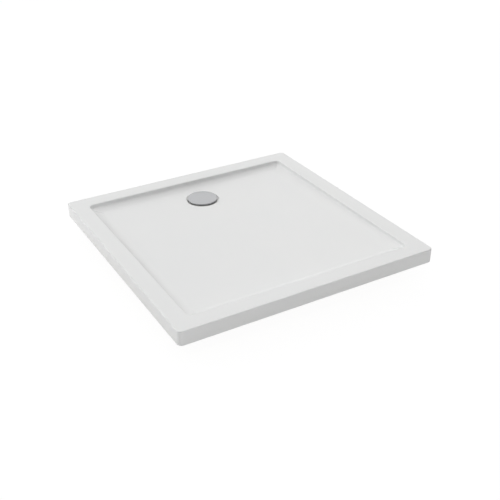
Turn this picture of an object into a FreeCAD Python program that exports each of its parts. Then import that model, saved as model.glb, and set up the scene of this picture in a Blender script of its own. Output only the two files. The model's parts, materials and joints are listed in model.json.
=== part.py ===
import FreeCAD, Part
import math
import os
from types import SimpleNamespace

import Sketcher

# A square low-profile shower tray of thermoformed acrylic, with its backing, its screw feet and a 90 mm
# waste with a lift-out trap. Lengths are in millimetres. The origin is on the floor under the middle of
# the tray, +Z is up, and +Y points to the drain's edge. Heights in the sheet and in the profiles count
# from the lower edge of the tray's apron, and the placements add the gap below it.

SIZES = {
    # Tray
    "tray_side": 900,
    "tray_height": 47,
    "ground_gap": 65,  # from the floor to the apron's lower edge
    "plan_corner": 15,
    "outer_edge": 8,
    "rim_width": 60,
    "lip_radius": 4,
    "well_corner": 16,
    "wall_draft": 12,  # degrees
    "cove_radius": 13,
    "drain_depth": 25,  # from the rim down to the floor at the drain
    "floor_fall": 0.012,
    "drain_setback": 170,  # from the back edge to the drain's axis
    "sheet_thickness": 4.5,
    "backing_thickness": 3,
    "backing_foot": 3,
    # Base under the well
    "board_half": 386,
    "board_corner": 30,
    "board_underside": 2,
    "board_thickness": 12,
    "waste_clearance": 68,
    "stud_clearance": 6,
    "bevel": 1,  # on screw heads, studs and soles
    "overrun": 6,  # how far a cutting form runs past the floor
    # Waste seat and flange
    "seat_radius": 59,
    "seat_drop": 3,
    "waste_hole": 45,
    "gasket_thickness": 1.5,
    "flange_radius": 55,
    "flange_thickness": 2.5,
    "sleeve_radius": 44.2,
    "sleeve_wall": 1.7,
    "shelf_height": 12,
    "shelf_thickness": 3,
    "throat_radius": 32.5,
    "throat_wall": 1.7,
    "throat_foot": 2,
    "recess_radius": 48,
    "recess_depth": 1.3,
    "screw_circle": 38.8,
    "screw_radius": 2,
    "screw_play": 0.2,
    "screw_head": 3.5,
    "screw_head_height": 2.6,
    "flange_bevel": 0.6,
    "gasket_play": 0.8,  # round the flange's sleeve
    # Strainer and cover
    "strainer_play": 0.4,
    "hub_radius": 8,
    "hub_depth": 5,
    "stem_radius": 4,
    "running_play": 0.05,
    "slot_start": 11,
    "slot_split": 24,
    "slot_end": 42,
    "slot_bar": 3,  # between the two rings of slots
    "slot_near_width": 2.6,
    "slot_far_width": 4.2,
    "cover_radius": 54,
    "cover_gap": 3,  # under the cover's edge, where the water goes in
    "cover_edge": 2,
    "cover_skirt": 1,
    "cover_crown": 1,
    "cover_wall": 1.6,
    "leg_radius": 1.6,
    # Trap
    "pot_radius": 52.4,
    "pot_wall": 2.4,
    "pot_bend": 8,
    "pot_foot": -54.5,
    "pot_flange": 60,
    "pot_flange_thickness": 4.5,
    "boss_radius": 4.4,
    "boss_length": 17,
    "boss_floor": 3,
    "boss_drop": 1.5,
    "cup_radius": 31.5,
    "cup_wall": 1.7,
    "cup_bend": 4,
    "cup_rim": -8,
    "cup_foot": -46,
    "tube_radius": 20.5,
    "tube_wall": 1.7,
    "tube_foot": -38,
    "plug_cone": 6,
    "plug_edge": 1,
    "funnel_drop": 3,
    "funnel_land": 2,
    "collar_thickness": 1.4,
    "handle_width": 4,
    "handle_height": 7,
    "handle_reach": 29.5,
    "fin_thickness": 1.8,
    "fin_height": 12,
    "fin_root": 0.5,
    "seal_depth": 1.9,
    "seal_foot": 7.4,
    "seal_height": 2.8,
    "seal_play": 0.1,
    "seal_bevel": 0.5,
    # Outlet
    "outlet_height": -30,
    "pipe_radius": 20,
    "pipe_wall": 1.8,
    "pipe_end": 160,
    "pipe_neck": 0.4,
    "union_collar": 23,
    "union_collar_width": 3.2,
    "nozzle_radius": 24,
    "nozzle_end": 86,
    "union_washer": 2,
    "nut_radius": 28.5,
    "nut_start": 64,
    "nut_end": 95,
    "nut_play": 0.4,
    "grip_radius": 2.2,
    # Feet
    "foot_reach": 330,
    "middle_foot": 60,
    "thread_radius": 5,
    "socket_radius": 32,
    "socket_plate": 4,
    "socket_boss": 11,
    "socket_depth": 16,
    "boss_flare": 1.5,
    "gusset_thickness": 3,
    "gusset_bite": 2,
    "gusset_step": 1,
    "gusset_inset": 4,
    "socket_screw_circle": 24,
    "stud_top": 8,
    "lock_nut_width": 17,
    "lock_nut_height": 6,
    "collar_width": 15,
    "collar_height": 6,
    "spigot_step": 1,
    "spigot_length": 6,
    "pad_radius": 25,
    "pad_top": -52,
    "pad_edge": 2,
    "pad_neck": 3,
    "pad_hub_wall": 1.5,
    "grip_height": 3,
}

INNER_SLOTS = 12
OUTER_SLOTS = 24
CENTRING_FINS = 3
COVER_LEGS = 4
NUT_GRIPS = 10
GUSSETS = 4
HEX_SIDES = 6
SAME = 0.01  # mm within which two heights are one
CLEAR = 1  # mm by which an edge stands off others or is longer than a blend's
DIAGONAL = round(math.sqrt(0.5), 9)  # screws stand on the diagonals, clear of the outlet and the gussets
CORNERS = ((1, 1), (-1, 1), (-1, -1), (1, -1))  # the signs of four screws about one axis

doc = FreeCAD.newDocument("shower_tray")
pieces = {}


class Size:
    """A dimension as its number and as the expression that ties it to the sheet."""

    def __init__(self, number, text):
        self.number = number
        self.text = text

    def __add__(self, other):
        other = size(other)
        return Size(self.number + other.number, f"({self.text} + {other.text})")

    def __sub__(self, other):
        other = size(other)
        return Size(self.number - other.number, f"({self.text} - {other.text})")

    def __mul__(self, other):
        other = size(other)
        return Size(self.number * other.number, f"({self.text} * {other.text})")

    def __truediv__(self, other):
        other = size(other)
        return Size(self.number / other.number, f"({self.text} / {other.text})")

    def __neg__(self):
        return Size(-self.number, f"(0 - {self.text})")


def size(value):
    return value if isinstance(value, Size) else Size(value, f"({value})")


def driving_sheet():
    """Put every driving dimension in a cell of its own and give them back as sizes."""
    sheet = doc.addObject("Spreadsheet::Sheet", "sizes")
    for row, (alias, number) in enumerate(SIZES.items(), 1):
        sheet.set(f"A{row}", alias)
        sheet.set(f"B{row}", str(number))
        sheet.setAlias(f"B{row}", alias)
    doc.recompute()
    return SimpleNamespace(**{alias: Size(number, f"sizes.{alias}") for alias, number in SIZES.items()})


d = driving_sheet()
ZERO = Size(0, "0")
half_side = d.tray_side / 2
drain_y = half_side - d.drain_setback
floor_at_drain = d.tray_height - d.drain_depth
seat_height = floor_at_drain - d.seat_drop
flange_foot = seat_height + d.gasket_thickness
flange_top = flange_foot + d.flange_thickness
shelf_top = d.shelf_height + d.shelf_thickness
laminate = d.sheet_thickness + d.backing_thickness
body_gasket_top = seat_height - laminate
body_top = body_gasket_top - d.gasket_thickness
board_top = d.board_underside + d.board_thickness
waterway = (d.pipe_radius - d.pipe_wall, ZERO, d.outlet_height)


# Sketches and features

def place(thing, x=ZERO, y=ZERO):
    """Set a piece on the frame: its own heights count from the apron's lower edge."""
    for axis, value in (("x", x), ("y", y), ("z", d.ground_gap)):
        thing.setExpression(f".Placement.Base.{axis}", value.text)


def body_named(name, x=ZERO, y=ZERO):
    body = doc.addObject("PartDesign::Body", name)
    body.Label = name
    place(body, x, y)
    return body


def origin_of(body, role):
    return next(part for part in body.Origin.OriginFeatures if part.Role == role)


def sketch_on(body, plane, offset):
    sketch = body.newObject("Sketcher::SketchObject", "Sketch")
    sketch.AttachmentSupport = [(origin_of(body, plane), "")]
    sketch.MapMode = "FlatFace"
    sketch.setExpression(".AttachmentOffset.Base.z", offset.text)
    return sketch


def pin(sketch, element, end, x, y):
    """Tie one point of a sketch to its coordinates."""
    for kind, axis, value in (("DistanceX", -2, x), ("DistanceY", -1, y)):
        if value.number == 0:
            sketch.addConstraint(Sketcher.Constraint("PointOnObject", element, end, axis))
            continue
        forward = value.number > 0
        points = (-1, 1, element, end) if forward else (element, end, -1, 1)
        bind(sketch, Sketcher.Constraint(kind, *points, abs(value.number)), value if forward else -value)


def bind(sketch, constraint, value):
    index = sketch.addConstraint(constraint)
    sketch.setExpression(f"Constraints[{index}]", value.text)


def arc_between(first, second, radius):
    """The shorter arc from first to second, anticlockwise when radius is positive."""
    chord = second - first
    right = FreeCAD.Vector(chord.y, -chord.x, 0).normalize()
    sag = abs(radius) - math.sqrt(radius ** 2 - (chord.Length / 2) ** 2)
    return Part.Arc(first, (first + second) / 2 + right * math.copysign(sag, radius), second)


def outline(sketch, corners):
    """Draw a closed anticlockwise outline. A corner's third value is the radius of the arc that leaves it."""
    start = sketch.GeometryCount
    points = [FreeCAD.Vector(corner[0].number, corner[1].number, 0) for corner in corners]
    ends = []
    for corner, first, second in zip(corners, points, points[1:] + points[:1]):
        if len(corner) == 2:
            sketch.addGeometry(Part.LineSegment(first, second))
            ends.append((1, 2))
            continue
        bend = corner[2]
        index = sketch.addGeometry(arc_between(first, second, bend.number))
        outward = bend.number > 0
        bind(sketch, Sketcher.Constraint("Radius", index, abs(bend.number)), bend if outward else -bend)
        ends.append((1, 2) if outward else (2, 1))
    for number, corner in enumerate(corners):
        element = start + number
        following = (number + 1) % len(corners)
        meets = (start + following, ends[following][0])
        sketch.addConstraint(Sketcher.Constraint("Coincident", element, ends[number][1], *meets))
        pin(sketch, element, ends[number][0], corner[0], corner[1])


def circle(sketch, radius, x=ZERO, y=ZERO):
    centre = FreeCAD.Vector(x.number, y.number, 0)
    index = sketch.addGeometry(Part.Circle(centre, FreeCAD.Vector(0, 0, 1), radius.number))
    pin(sketch, index, 3, x, y)
    bind(sketch, Sketcher.Constraint("Radius", index, radius.number), radius)


def rounded_square(half, corner, centre=ZERO):
    """Corners of a square with rounded corners, whose middle is at height centre of the sketch."""
    flat = half - corner
    return [
        (flat, centre - half, corner), (half, centre - flat),
        (half, centre + flat, corner), (flat, centre + half),
        (-flat, centre + half, corner), (-half, centre + flat),
        (-half, centre - flat, corner), (-flat, centre - half),
    ]


def hexagon(across_flats):
    reach = across_flats / (2 * math.cos(math.pi / HEX_SIDES))
    turns = [math.tau * step / HEX_SIDES for step in range(HEX_SIDES)]
    return [(reach * round(math.cos(turn), 9), reach * round(math.sin(turn), 9)) for turn in turns]


def box_outline(x_low, x_high, y_low, y_high):
    return [(x_low, y_low), (x_high, y_low), (x_high, y_high), (x_low, y_high)]


def prism(body, kind, shapes, low, high, plane="XY_Plane"):
    """Pad or pocket outlines and circles between two distances along +Z or, from the XZ plane, along +Y."""
    along_normal = plane == "XY_Plane"
    sketch = sketch_on(body, plane, low if along_normal else -low)
    for shape in shapes:
        if isinstance(shape, list):
            outline(sketch, shape)
        else:
            circle(sketch, *shape)
    feature = body.newObject(f"PartDesign::{kind}", kind)
    feature.Profile = sketch
    feature.setExpression("Length", (high - low).text)
    feature.Reversed = (kind == "Pad") != along_normal
    body.Tip = feature
    return feature


def turned(body, corners, kind="Revolution"):
    """Turn a profile of (radius, height) corners about the body's vertical axis. A Groove cuts instead."""
    sketch = sketch_on(body, "XZ_Plane", ZERO)
    outline(sketch, corners)
    feature = body.newObject(f"PartDesign::{kind}", kind)
    feature.Profile = sketch
    feature.ReferenceAxis = (sketch, ["V_Axis"])
    feature.Angle = 360
    body.Tip = feature
    return feature


def ring_of(body, features, count, axis="Z_Axis"):
    """Repeat features evenly about one of the body's axes."""
    pattern = body.newObject("PartDesign::PolarPattern", "PolarPattern")
    pattern.Originals = features
    pattern.Axis = (origin_of(body, axis), [""])
    pattern.Angle = 360
    pattern.Occurrences = count
    body.Tip = pattern
    return pattern


def dress(body, kind, amount, wanted):
    """Fillet or chamfer the edges of the body that a test picks out."""
    doc.recompute()
    base = body.Tip
    names = [f"Edge{number}" for number, edge in enumerate(base.Shape.Edges, 1) if wanted(edge)]
    feature = body.newObject(f"PartDesign::{kind}", kind)
    feature.Base = (base, names)
    feature.setExpression("Radius" if kind == "Fillet" else "Size", amount.text)
    body.Tip = feature
    return feature


def flat_at(height):
    """A test for edges that lie wholly at one height."""
    def wanted(edge):
        box = edge.BoundBox
        return abs(box.ZMin - height.number) < SAME and abs(box.ZMax - height.number) < SAME
    return wanted


def cut(name, base, tool):
    thing = doc.addObject("Part::Cut", name)
    thing.Base = base
    thing.Tool = tool
    return thing


def finish(name, thing):
    """Keep a finished piece under its own name."""
    thing.Label = name
    pieces[name] = thing


def group(name, bodies):
    """Keep separate solids, such as a set of screws, as one piece."""
    thing = doc.addObject("Part::Compound", name)
    thing.Links = bodies
    finish(name, thing)


def ring(name, inner, outer, low, high):
    """Keep a flat ring on the drain's axis, such as a gasket."""
    body = body_named(name, y=drain_y)
    prism(body, "Pad", [(outer,), (inner,)], low, high)
    finish(name, body)


# Tray: a thermoformed sheet, its laminate, the foam that makes up the falls, and the board for the feet

def well_tool(inset, coved=False):
    """The tray's hollow, grown by inset: drafted walls, a floor that falls as a cone, the waste's seat."""
    body = body_named("well", y=drain_y)
    depth = d.drain_depth + inset + d.overrun
    rim = d.tray_height
    half = half_side - d.rim_width + inset
    walls = prism(body, "Pad", [box_outline(-half, half, -drain_y - half, half - drain_y)], rim, rim + depth)
    walls.Reversed = True
    walls.setExpression("TaperAngle", (-d.wall_draft).text)
    apex = floor_at_drain - inset
    foot = rim - depth - d.overrun
    reach = d.tray_side
    turned(body, [(ZERO, foot), (reach, foot), (reach, apex + reach * d.floor_fall), (ZERO, apex)], "Groove")

    def corner(edge):
        return edge.BoundBox.ZMax > rim.number - SAME and edge.BoundBox.ZLength > CLEAR

    def foot_of_wall(edge):
        nearest = min(math.hypot(end.X, end.Y) for end in edge.Vertexes)
        return edge.BoundBox.ZMax < rim.number - CLEAR and nearest > d.seat_radius.number
    dress(body, "Fillet", d.well_corner + inset, corner)
    if coved:
        dress(body, "Fillet", d.cove_radius, foot_of_wall)
    prism(body, "Pad", [(d.seat_radius + inset,)], seat_height - inset, floor_at_drain + d.seat_drop)
    return body


def tray_form(inset, well, foot):
    """The tray's outside, drawn in by inset and taken down to foot, with the well cut out of it."""
    body = body_named("form")
    top = d.tray_height - inset
    prism(body, "Pad", [rounded_square(half_side - inset, d.plan_corner - inset)], foot, top)
    dress(body, "Fillet", d.outer_edge - inset, flat_at(top))
    return cut("form_with_well", body, well)


def rounded_lip(form):
    """Round the lip where the rim turns down into the well."""
    doc.recompute()
    on_rim = flat_at(d.tray_height + d.ground_gap)
    limit = (half_side - d.rim_width).number + CLEAR
    lip = doc.addObject("Part::Fillet", "rounded_lip")
    lip.Base = form
    radius = d.lip_radius.number
    lip.Edges = [(number, radius, radius) for number, edge in enumerate(form.Shape.Edges, 1)
                 if on_rim(edge) and max(map(abs, (edge.BoundBox.XMin, edge.BoundBox.XMax,
                                                   edge.BoundBox.YMin, edge.BoundBox.YMax))) < limit]
    return lip


def waste_bore(radius):
    bore = doc.addObject("Part::Cylinder", "waste_bore")
    bore.setExpression("Radius", radius.text)
    bore.setExpression("Height", d.tray_height.text)
    place(bore, y=drain_y)
    return bore


def tray():
    below = -d.sheet_thickness
    face_well = well_tool(ZERO, coved=True)
    sheet_well = well_tool(d.sheet_thickness)
    laminate_well = well_tool(laminate)
    hole = waste_bore(d.waste_hole)
    outside = rounded_lip(tray_form(ZERO, face_well, ZERO))
    sheet = cut("sheet", outside, tray_form(d.sheet_thickness, sheet_well, below))
    finish("tray_shell", cut("tray_shell", sheet, hole))

    coat = tray_form(d.sheet_thickness, sheet_well, d.backing_foot)
    backing = cut("backing", coat, tray_form(laminate, laminate_well, below))
    finish("glassfibre_backing", cut("glassfibre_backing", backing, hole))

    block = body_named("foam_block")
    prism(block, "Pad", [rounded_square(d.board_half, d.board_corner)], board_top, d.tray_height)
    foam = cut("foam", block, laminate_well)
    finish("foam_core", cut("foam_core", foam, waste_bore(d.waste_clearance)))

    board = body_named("base_board")
    holes = [(d.stud_clearance, x, y) for x, y in foot_places().values()]
    shapes = [rounded_square(d.board_half, d.board_corner), (d.waste_clearance, ZERO, drain_y)]
    prism(board, "Pad", shapes + holes, d.board_underside, board_top)
    finish("base_board", board)


# Waste: the flange above the tray, the trap's pot below it, and what clamps them

def waste_flange():
    """The seat ring with its sleeve, the shelf that takes the screws, and the throat for the trap's plug."""
    body = body_named("waste_flange", y=drain_y)
    bevel = d.flange_bevel
    throat_out = d.throat_radius + d.throat_wall
    sleeve_in = d.sleeve_radius - d.sleeve_wall
    recess = flange_top - d.recess_depth
    turned(body, [
        (d.throat_radius, d.throat_foot), (throat_out, d.throat_foot), (throat_out, d.shelf_height),
        (d.sleeve_radius, d.shelf_height), (d.sleeve_radius, flange_foot), (d.flange_radius, flange_foot),
        (d.flange_radius, flange_top - bevel), (d.flange_radius - bevel, flange_top),
        (d.recess_radius, flange_top), (d.recess_radius, recess), (sleeve_in, recess),
        (sleeve_in, shelf_top), (d.throat_radius, shelf_top),
    ])
    at = d.screw_circle * DIAGONAL
    hole = prism(body, "Pocket", [(d.screw_radius + d.screw_play, at, at)], d.shelf_height, shelf_top)
    ring_of(body, [hole], len(CORNERS))
    finish("waste_flange", body)


def flange_screws():
    """Pan-head screws that draw the trap up to the flange."""
    head_top = shelf_top + d.screw_head_height
    foot = body_top - d.boss_length
    at = d.screw_circle * DIAGONAL
    screws = []
    for x_side, y_side in CORNERS:
        body = body_named("flange_screw", at * x_side, drain_y + at * y_side)
        turned(body, [
            (ZERO, foot), (d.screw_radius / 2, foot), (d.screw_radius, foot + d.screw_radius),
            (d.screw_radius, shelf_top), (d.screw_head, shelf_top), (d.screw_head, head_top - d.bevel),
            (d.screw_head - d.bevel, head_top), (ZERO, head_top),
        ])
        screws.append(body)
    group("flange_screws", screws)


def trap_body():
    """The pot, with its clamping flange, its screw bosses and the hole for its outlet."""
    body = body_named("trap_body", y=drain_y)
    inside = d.pot_radius - d.pot_wall
    bend = d.pot_bend
    turned(body, [
        (ZERO, d.pot_foot), (d.pot_radius - bend, d.pot_foot, bend), (d.pot_radius, d.pot_foot + bend),
        (d.pot_radius, body_top - d.pot_flange_thickness), (d.pot_flange, body_top - d.pot_flange_thickness),
        (d.pot_flange, body_top), (inside, body_top), (inside, d.pot_foot + bend, d.pot_wall - bend),
        (d.pot_radius - bend, d.pot_foot + d.pot_wall), (ZERO, d.pot_foot + d.pot_wall),
    ])
    prism(body, "Pocket", [waterway], inside - bend, d.nozzle_end, "XZ_Plane")
    foot = body_top - d.boss_length - d.boss_floor
    top = body_top - d.boss_drop
    at = d.screw_circle * DIAGONAL
    boss = prism(body, "Pad", [(d.boss_radius, at, at)], foot, top)
    wall = inside * DIAGONAL
    lean = d.boss_radius * DIAGONAL
    web = prism(body, "Pad", [[(at + lean, at - lean), (wall + lean, wall - lean),
                               (wall - lean, wall + lean), (at - lean, at + lean)]], foot, top)
    bore = prism(body, "Pocket", [(d.screw_radius, at, at)], body_top - d.boss_length, top)
    ring_of(body, [boss, web, bore], len(CORNERS))
    finish("trap_body", body)


def trap_outlet():
    """The threaded branch, shaped to the pot's side and welded to it."""
    body = body_named("trap_outlet", y=drain_y)
    bend = d.pot_bend
    reach = d.pot_radius + d.running_play
    foot = d.pot_foot - d.running_play
    start = d.pot_radius - bend
    prism(body, "Pad", [(d.nozzle_radius, ZERO, d.outlet_height)], start, d.nozzle_end, "XZ_Plane")
    turned(body, [(ZERO, foot), (reach - bend, foot, bend), (reach, foot + bend), (reach, body_top),
                  (ZERO, body_top)], "Groove")
    prism(body, "Pocket", [waterway], start, d.nozzle_end, "XZ_Plane")
    finish("trap_outlet", body)


# Trap insert, strainer and cover, which lift out one after another

def dip_tube():
    """The plug that seals the throat, its funnel and the tube that reaches down into the cup."""
    body = body_named("dip_tube", y=drain_y)
    plug = d.throat_radius - d.running_play
    collar = d.throat_radius + d.throat_wall
    collar_top = shelf_top + d.collar_thickness
    bore = d.tube_radius - d.tube_wall
    groove = plug - d.seal_depth
    plug_foot = d.throat_foot + d.plug_edge
    turned(body, [
        (bore, d.tube_foot), (d.tube_radius, d.tube_foot), (d.tube_radius, d.throat_foot - d.plug_cone),
        (plug - d.plug_cone, plug_foot), (plug, plug_foot), (plug, d.seal_foot),
        (groove, d.seal_foot), (groove, d.seal_foot + d.seal_height), (plug, d.seal_foot + d.seal_height),
        (plug, shelf_top), (collar, shelf_top), (collar, collar_top), (groove, collar_top),
        (groove - d.funnel_land, shelf_top - d.funnel_drop), (bore, d.throat_foot - d.plug_edge),
    ])
    half_bar = d.handle_width / 2
    bar = box_outline(-d.handle_reach, d.handle_reach, -half_bar, half_bar)
    prism(body, "Pad", [bar], shelf_top - d.handle_height, shelf_top)
    cup_inside = d.cup_radius - d.cup_wall - d.running_play
    half_fin = d.fin_thickness / 2
    fin_shape = box_outline(d.tube_radius - d.fin_root, cup_inside, -half_fin, half_fin)
    fin = prism(body, "Pad", [fin_shape], d.cup_rim - d.fin_height, d.cup_rim)
    ring_of(body, [fin], CENTRING_FINS)
    finish("dip_tube", body)


def trap_cup():
    """The cup that holds the water seal round the dip tube's foot."""
    body = body_named("trap_cup", y=drain_y)
    bend = d.cup_bend
    inside = d.cup_radius - d.cup_wall
    turned(body, [
        (ZERO, d.cup_foot), (d.cup_radius - bend, d.cup_foot, bend), (d.cup_radius, d.cup_foot + bend),
        (d.cup_radius, d.cup_rim), (inside, d.cup_rim), (inside, d.cup_foot + bend, d.cup_wall - bend),
        (d.cup_radius - bend, d.cup_foot + d.cup_wall), (ZERO, d.cup_foot + d.cup_wall),
    ])
    finish("trap_cup", body)


def cup_seal():
    """The ring in the plug's groove, squeezed to the throat."""
    body = body_named("cup_seal", y=drain_y)
    inner = d.throat_radius - d.running_play - d.seal_depth
    outer = d.throat_radius - d.running_play
    low = d.seal_foot + d.seal_play
    high = d.seal_foot + d.seal_height - d.seal_play
    bevel = d.seal_bevel
    turned(body, [(inner, low), (outer - bevel, low), (outer, low + bevel), (outer, high - bevel),
                  (outer - bevel, high), (inner, high)])
    finish("cup_seal", body)


def hair_strainer():
    """A plate with two rings of slots round a hub that takes the cover's stem."""
    body = body_named("hair_strainer", y=drain_y)
    low = flange_top - d.recess_depth
    rim = d.recess_radius - d.strainer_play
    hub_foot = low - d.hub_depth
    socket = d.stem_radius + d.running_play
    turned(body, [
        (socket, hub_foot), (d.hub_radius, hub_foot), (d.hub_radius, low), (rim, low), (rim, flange_top),
        (socket, flange_top),
    ])
    near_half = d.slot_near_width / 2
    far_half = d.slot_far_width / 2
    rings = ((d.slot_start, d.slot_split, INNER_SLOTS), (d.slot_split + d.slot_bar, d.slot_end, OUTER_SLOTS))
    for near, far, count in rings:
        wedge = [(near, -near_half), (far, -far_half), (far, far_half), (near, near_half)]
        slot = prism(body, "Pocket", [wedge], low, flange_top)
        ring_of(body, [slot], count)
    finish("hair_strainer", body)


def drain_cover():
    """A crowned cap that stands clear of the tray on four legs, with a stem for the strainer's hub."""
    body = body_named("drain_cover", y=drain_y)
    wall = d.cover_wall
    low = floor_at_drain + d.cover_gap
    edge_foot = low + d.cover_skirt
    shoulder = edge_foot + d.cover_edge
    crown = shoulder + d.cover_crown
    inner_edge = d.cover_radius - d.cover_edge
    crown_radius = (inner_edge * inner_edge + d.cover_crown * d.cover_crown) / (d.cover_crown * 2)
    skirt_in = d.cover_radius - wall
    turned(body, [
        (ZERO, shoulder - wall), (inner_edge, shoulder - wall), (skirt_in, edge_foot),
        (skirt_in, low), (d.cover_radius, low), (d.cover_radius, edge_foot, d.cover_edge),
        (inner_edge, shoulder, crown_radius), (ZERO, crown),
    ])
    prism(body, "Pad", [(d.stem_radius,)], flange_top - d.hub_depth, shoulder - wall / 2)
    leg_at = d.recess_radius + d.leg_radius + d.strainer_play
    leg = prism(body, "Pad", [(d.leg_radius, leg_at, ZERO)], flange_top, shoulder - wall / 2)
    ring_of(body, [leg], COVER_LEGS)
    finish("drain_cover", body)


# Outlet

def outlet():
    """A union: the nut draws the collar of the outlet pipe and a flat washer up to the trap's nozzle."""
    centre = (ZERO, d.outlet_height)
    collar_start = d.nozzle_end + d.union_washer
    collar_end = collar_start + d.union_collar_width
    neck_end = d.nut_end + d.bevel

    seal = body_named("outlet_seal", y=drain_y)
    prism(seal, "Pad", [(d.union_collar, *centre), waterway], d.nozzle_end, collar_start, "XZ_Plane")
    finish("outlet_seal", seal)

    pipe = body_named("outlet_pipe", y=drain_y)
    prism(pipe, "Pad", [(d.union_collar, *centre)], collar_start, collar_end, "XZ_Plane")
    prism(pipe, "Pad", [(d.pipe_radius - d.pipe_neck, *centre)], collar_end, neck_end, "XZ_Plane")
    prism(pipe, "Pad", [(d.pipe_radius, *centre)], neck_end, d.pipe_end, "XZ_Plane")
    prism(pipe, "Pocket", [waterway], collar_start, d.pipe_end, "XZ_Plane")
    finish("outlet_pipe", pipe)

    nut = body_named("outlet_nut", y=drain_y)
    thread = (d.nozzle_radius + d.running_play, *centre)
    walls = [(d.nut_radius, *centre), (d.pipe_radius + d.nut_play, *centre)]
    prism(nut, "Pad", walls, d.nut_start, d.nut_end, "XZ_Plane")
    prism(nut, "Pocket", [thread], d.nut_start, collar_end + d.running_play, "XZ_Plane")
    grips = []
    for step in range(NUT_GRIPS):
        turn = math.tau * step / NUT_GRIPS
        across, up = round(math.cos(turn), 9), round(math.sin(turn), 9)
        grips.append((d.grip_radius, d.nut_radius * across, d.outlet_height + d.nut_radius * up))
    prism(nut, "Pocket", grips, d.nut_start, d.nut_end, "XZ_Plane")
    finish("outlet_nut", nut)


# Feet

def foot_places():
    reach = d.foot_reach
    return {
        "front_left": (-reach, -reach), "front_right": (reach, -reach), "middle": (ZERO, -d.middle_foot),
        "back_left": (-reach, reach), "back_right": (reach, reach),
    }


def foot(place_name, x, y):
    """One screw foot: a socket under the board, a lock nut, the stud, its pad and the pad's grip."""
    board_foot = d.board_underside
    plate_foot = board_foot - d.socket_plate
    socket_foot = plate_foot - d.socket_depth
    clear = d.thread_radius + d.running_play

    socket = body_named(f"foot_socket_{place_name}", x, y)
    prism(socket, "Pad", [(d.socket_radius,)], plate_foot, board_foot)
    turned(socket, [(ZERO, socket_foot), (d.socket_boss, socket_foot),
                    (d.socket_boss + d.boss_flare, plate_foot), (ZERO, plate_foot)])
    gusset_near = d.socket_boss - d.gusset_bite
    gusset_far = d.socket_radius - d.gusset_inset
    gusset_foot = socket_foot + d.gusset_bite
    sketch = sketch_on(socket, "XZ_Plane", -d.gusset_thickness / 2)
    outline(sketch, [(gusset_near, gusset_foot), (d.socket_boss + d.gusset_step, gusset_foot),
                     (gusset_far, plate_foot), (gusset_near, plate_foot)])
    gusset = socket.newObject("PartDesign::Pad", "Gusset")
    gusset.Profile = sketch
    gusset.setExpression("Length", d.gusset_thickness.text)
    ring_of(socket, [gusset], GUSSETS)
    prism(socket, "Pocket", [(clear,)], socket_foot, board_foot)
    at = d.socket_screw_circle * DIAGONAL
    hole = prism(socket, "Pocket", [(d.screw_radius + d.screw_play, at, at)], plate_foot, board_foot)
    ring_of(socket, [hole], len(CORNERS))
    finish(socket.Label, socket)

    nut = body_named(f"lock_nut_{place_name}", x, y)
    prism(nut, "Pad", [hexagon(d.lock_nut_width), (clear,)], socket_foot - d.lock_nut_height, socket_foot)
    finish(nut.Label, nut)

    stud = body_named(f"foot_stud_{place_name}", x, y)
    collar_top = d.pad_top + d.collar_height
    spigot = d.thread_radius - d.spigot_step
    pocket_foot = d.pad_top - d.spigot_length
    turned(stud, [(ZERO, pocket_foot), (spigot, pocket_foot), (spigot, d.pad_top),
                  (d.thread_radius, d.pad_top), (d.thread_radius, d.stud_top - d.spigot_step),
                  (spigot, d.stud_top), (ZERO, d.stud_top)])
    prism(stud, "Pad", [hexagon(d.collar_width)], d.pad_top, collar_top)
    finish(stud.Label, stud)

    pad = body_named(f"foot_pad_{place_name}", x, y)
    grip_top = d.grip_height - d.ground_gap
    hub = d.collar_width / 2 + d.pad_hub_wall
    turned(pad, [(ZERO, grip_top), (d.pad_radius, grip_top), (d.pad_radius, grip_top + d.pad_edge),
                 (hub + d.pad_hub_wall, d.pad_top - d.pad_neck), (hub, d.pad_top),
                 (spigot + d.running_play, d.pad_top), (spigot + d.running_play, pocket_foot),
                 (ZERO, pocket_foot)])
    finish(pad.Label, pad)

    grip = body_named(f"foot_grip_{place_name}", x, y)
    turned(grip, [(d.socket_boss, -d.ground_gap), (d.pad_radius - d.bevel, -d.ground_gap),
                  (d.pad_radius, d.bevel - d.ground_gap), (d.pad_radius, grip_top),
                  (d.socket_boss, grip_top)])
    finish(grip.Label, grip)


def socket_screws():
    """Four wood screws up through each foot socket into the board."""
    plate_foot = d.board_underside - d.socket_plate
    head_foot = plate_foot - d.screw_head_height
    point = board_top - d.screw_radius
    at = d.socket_screw_circle * DIAGONAL
    screws = []
    for x, y in foot_places().values():
        for x_side, y_side in CORNERS:
            body = body_named("socket_screw", x + at * x_side, y + at * y_side)
            turned(body, [(ZERO, head_foot), (d.screw_head, head_foot), (d.screw_head, plate_foot),
                          (d.screw_radius, plate_foot), (d.screw_radius, point), (ZERO, point)])
            screws.append(body)
    group("socket_screws", screws)


def check_and_write():
    """Stop on any failed feature or bad solid, then write each piece under its own name."""
    doc.recompute()
    failed = [f"{thing.Label}: {thing.State}" for thing in doc.Objects
              if {"Invalid", "Error"} & set(thing.State)]
    if failed:
        raise SystemExit("failed features: " + "; ".join(failed))
    os.makedirs("parts", exist_ok=True)
    for name, thing in pieces.items():
        shape = thing.Shape
        if shape.isNull() or not shape.isValid():
            raise SystemExit(f"{name} is not a sound solid")
        shape.exportStep(f"parts/{name}.step")
        box = shape.BoundBox
        print(f"{name:26s} solids {len(shape.Solids):2d}  volume {shape.Volume / 1000:9.2f} cm3"
              f"  z {box.ZMin:7.1f} to {box.ZMax:6.1f}")
    print(len(pieces), "pieces")


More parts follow.
